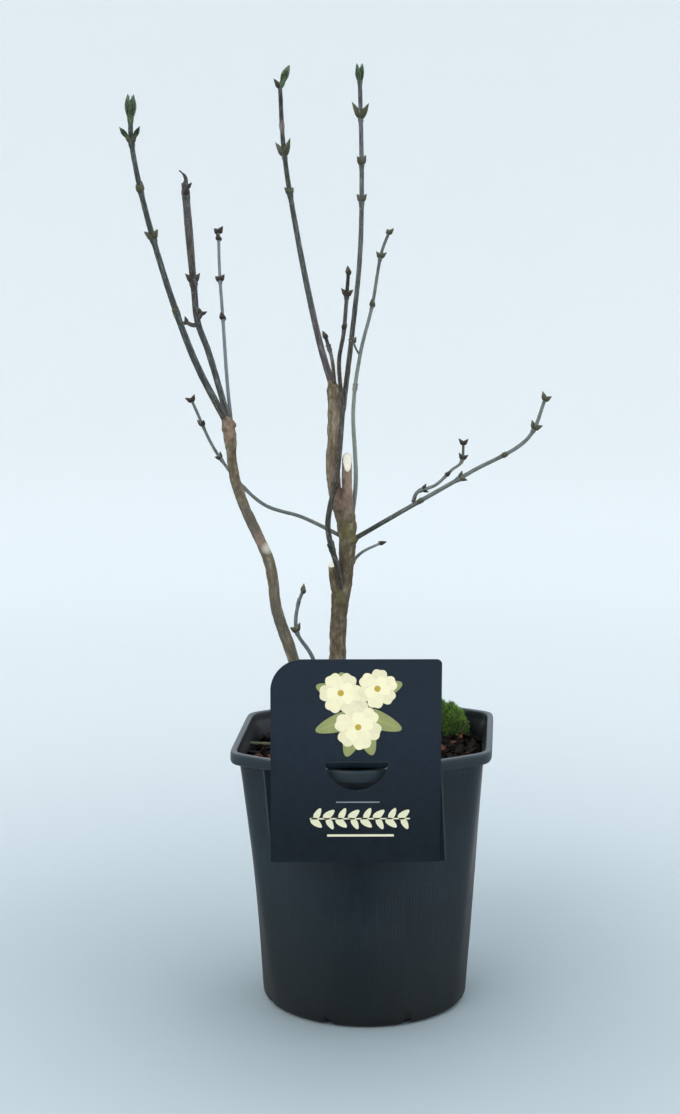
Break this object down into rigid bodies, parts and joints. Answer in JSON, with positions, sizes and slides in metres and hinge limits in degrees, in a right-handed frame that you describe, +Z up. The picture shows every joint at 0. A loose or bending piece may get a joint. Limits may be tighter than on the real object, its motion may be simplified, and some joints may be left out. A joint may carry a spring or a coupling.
{
  "type": "potted lilac shrub",
  "caption": "Young bare lilac with forked stems and budded twigs in a six-sided dark nursery pot, with a card hooked on the rim.",
  "frame": {"origin": "middle of the pot's flat underside", "axes": "+Z up, +X to the right of the picture card as seen by its reader, +Y away from the reader"},
  "size_m": [0.2894, 0.2145, 0.6801],
  "materials": {
    "pot": "ribbed charcoal polypropylene, satin to matt",
    "compost": "coarse bark compost, damp and matt",
    "moss": "soft cushion moss, matt",
    "card": "thin polypropylene card printed dark slate, satin",
    "bark": "smooth grey-brown bark with lenticels, matt",
    "bough": "young brown bark with lenticels, matt",
    "twigs": "bare twigs with green and brown buds, matt"
  },
  "bodies": {
    "root": {"pot": "pot", "compost": "compost", "moss": "moss", "label_card": "card", "stem_left": "bark", "stem_center": "bark", "bough_center": "bough", "bough_slender": "bough", "stub_left": "bark", "stub_middle": "bark", "bough_left_outer": "bough", "bough_left_middle": "bough", "bough_left_inner": "bough", "bough_top_left": "bough", "bough_tall": "bough", "bough_right": "bough", "bough_low_left": "bough", "bough_low_right": "bough", "bough_foot": "bough", "twigs_left_outer": "twigs", "twigs_left_middle": "twigs", "twigs_left_inner": "twigs", "twigs_top_left": "twigs", "twigs_tall": "twigs", "twigs_right": "twigs", "twigs_low_left": "twigs", "twigs_low_right": "twigs", "twigs_low_fork": "twigs", "twigs_short_left": "twigs", "twigs_short_front": "twigs", "twigs_spur": "twigs", "twigs_foot": "twigs"}
  },
  "joints": []
}
